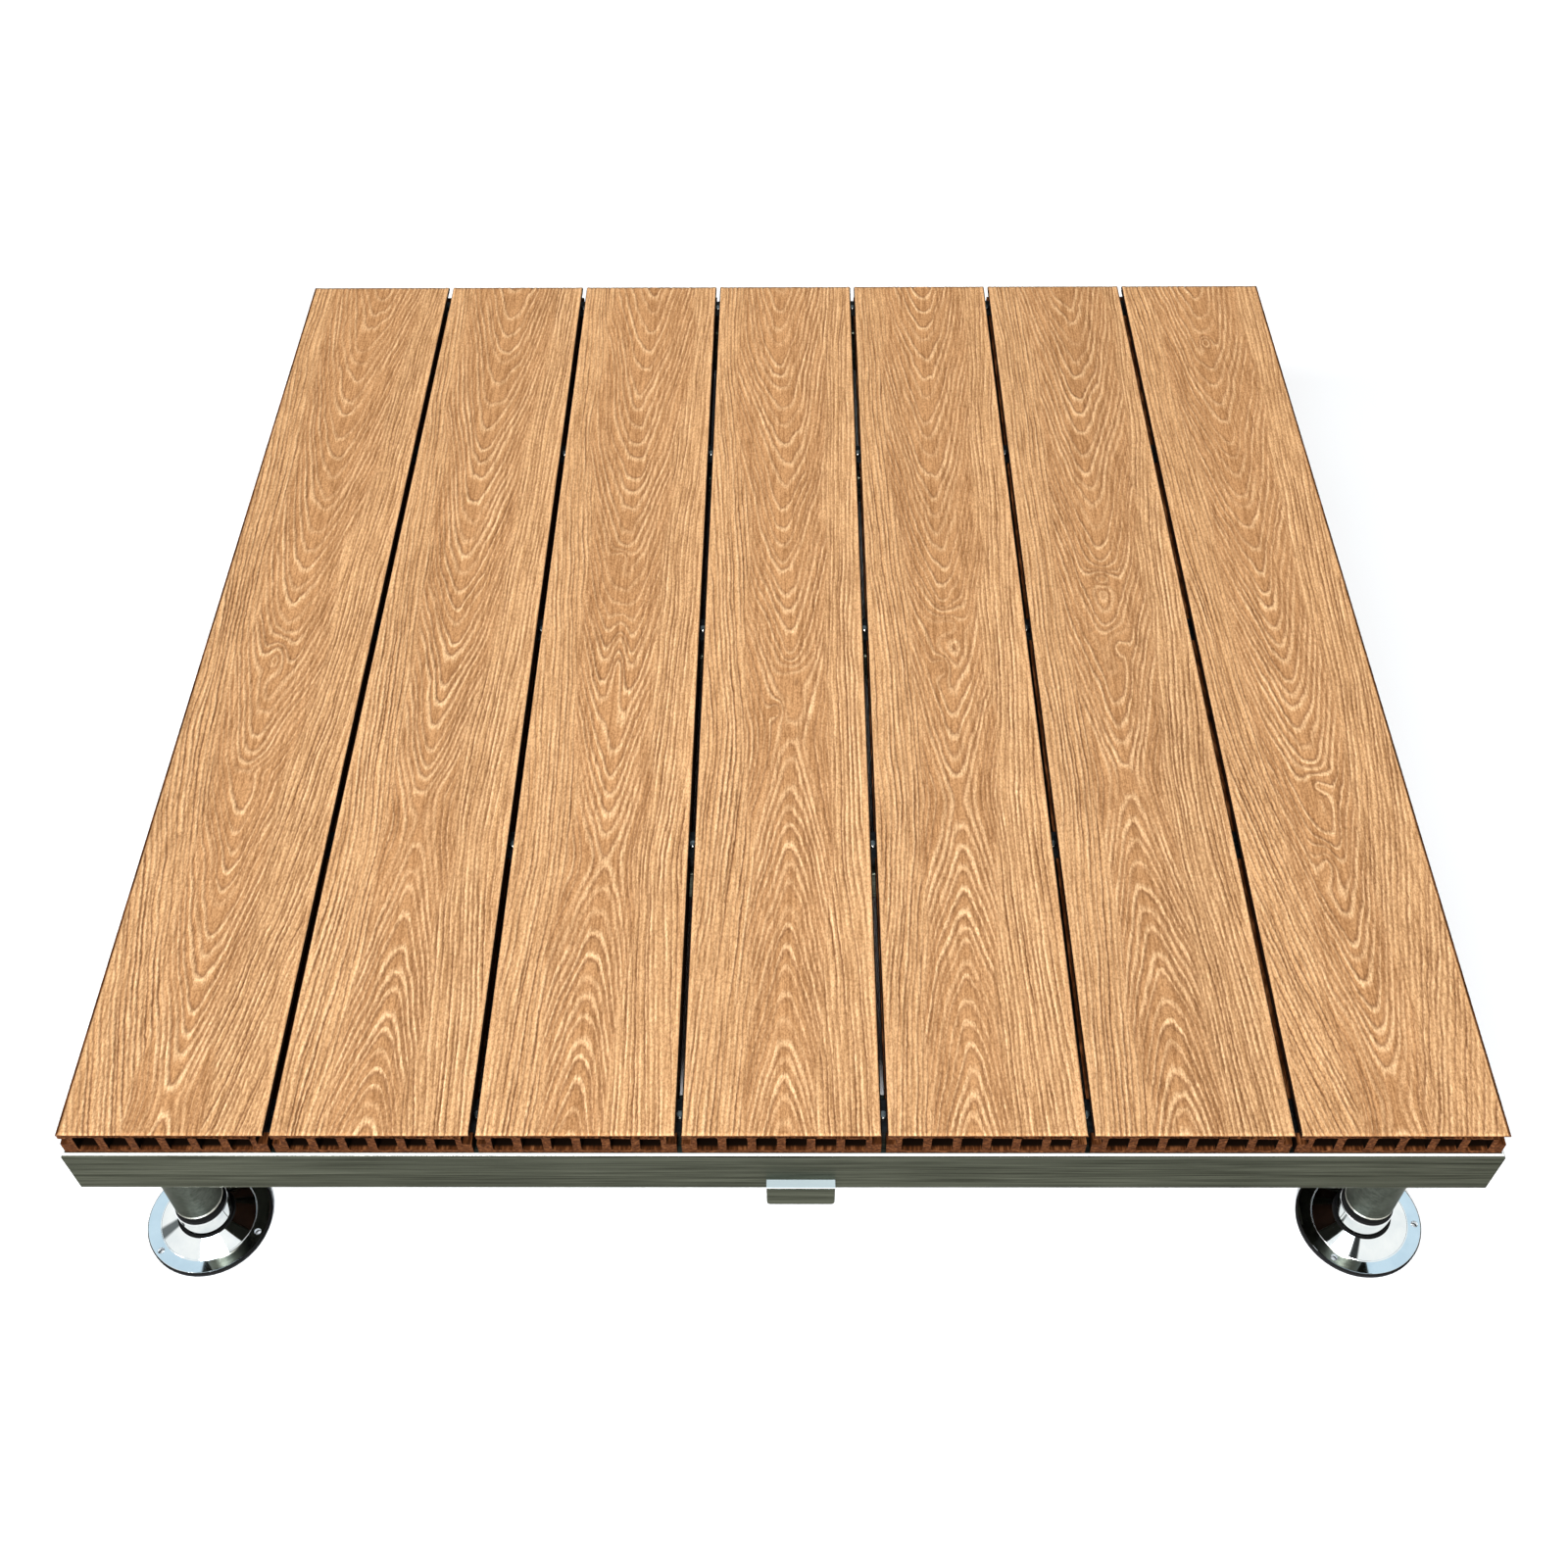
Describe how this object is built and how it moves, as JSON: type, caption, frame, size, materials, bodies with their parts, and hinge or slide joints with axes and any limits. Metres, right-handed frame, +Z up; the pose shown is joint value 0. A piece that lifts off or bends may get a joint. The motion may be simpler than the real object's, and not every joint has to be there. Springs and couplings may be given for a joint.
{
  "type": "interlocking deck tile",
  "caption": "Square raised deck tile of hollow composite boards clipped to a steel frame, with legs, levelling feet and an interlocking key.",
  "frame": {"origin": "on the ground under the middle of the tile", "axes": "+X to the right across the boards, +Y to the rear along the boards, +Z up; the key is at -Y"},
  "size_m": [1.022, 1.03, 0.217],
  "materials": {
    "composite_board": "embossed grain",
    "frame_steel": "brushed",
    "key_steel": "brushed",
    "leg_steel": "satin",
    "clip_steel": "plain",
    "foot_chrome": "polished",
    "foot_rubber": "matt"
  },
  "bodies": {
    "tile": {"deck_board_1": "composite_board", "deck_board_2": "composite_board", "deck_board_3": "composite_board", "deck_board_4": "composite_board", "deck_board_5": "composite_board", "deck_board_6": "composite_board", "deck_board_7": "composite_board", "front_rail": "frame_steel", "rear_rail": "frame_steel", "left_rail": "frame_steel", "right_rail": "frame_steel", "joist_1": "frame_steel", "joist_2": "frame_steel", "joist_3": "frame_steel", "board_clips": "clip_steel", "clip_screws": "clip_steel", "edge_screws": "clip_steel", "interlock_key": "key_steel", "key_screws": "clip_steel", "leg_plate_front_left": "frame_steel", "leg_tube_front_left": "leg_steel", "leg_insert_front_left": "foot_chrome", "leg_plate_front_right": "frame_steel", "leg_tube_front_right": "leg_steel", "leg_insert_front_right": "foot_chrome", "leg_plate_rear_right": "frame_steel", "leg_tube_rear_right": "leg_steel", "leg_insert_rear_right": "foot_chrome", "leg_plate_rear_left": "frame_steel", "leg_tube_rear_left": "leg_steel", "leg_insert_rear_left": "foot_chrome"},
    "foot_front_left": {"foot_flange_front_left": "foot_chrome", "foot_pad_front_left": "foot_rubber", "foot_stud_front_left": "clip_steel"},
    "foot_front_right": {"foot_flange_front_right": "foot_chrome", "foot_pad_front_right": "foot_rubber", "foot_stud_front_right": "clip_steel"},
    "foot_rear_right": {"foot_flange_rear_right": "foot_chrome", "foot_pad_rear_right": "foot_rubber", "foot_stud_rear_right": "clip_steel"},
    "foot_rear_left": {"foot_flange_rear_left": "foot_chrome", "foot_pad_rear_left": "foot_rubber", "foot_stud_rear_left": "clip_steel"}
  },
  "joints": [
    {"name": "level_front_left", "type": "slide", "parent": "tile", "child": "foot_front_left", "axis": [0, 0, -1], "range_m": [-0.004, 0.02]},
    {"name": "level_front_right", "type": "slide", "parent": "tile", "child": "foot_front_right", "axis": [0, 0, -1], "range_m": [-0.004, 0.02]},
    {"name": "level_rear_right", "type": "slide", "parent": "tile", "child": "foot_rear_right", "axis": [0, 0, -1], "range_m": [-0.004, 0.02]},
    {"name": "level_rear_left", "type": "slide", "parent": "tile", "child": "foot_rear_left", "axis": [0, 0, -1], "range_m": [-0.004, 0.02]}
  ]
}
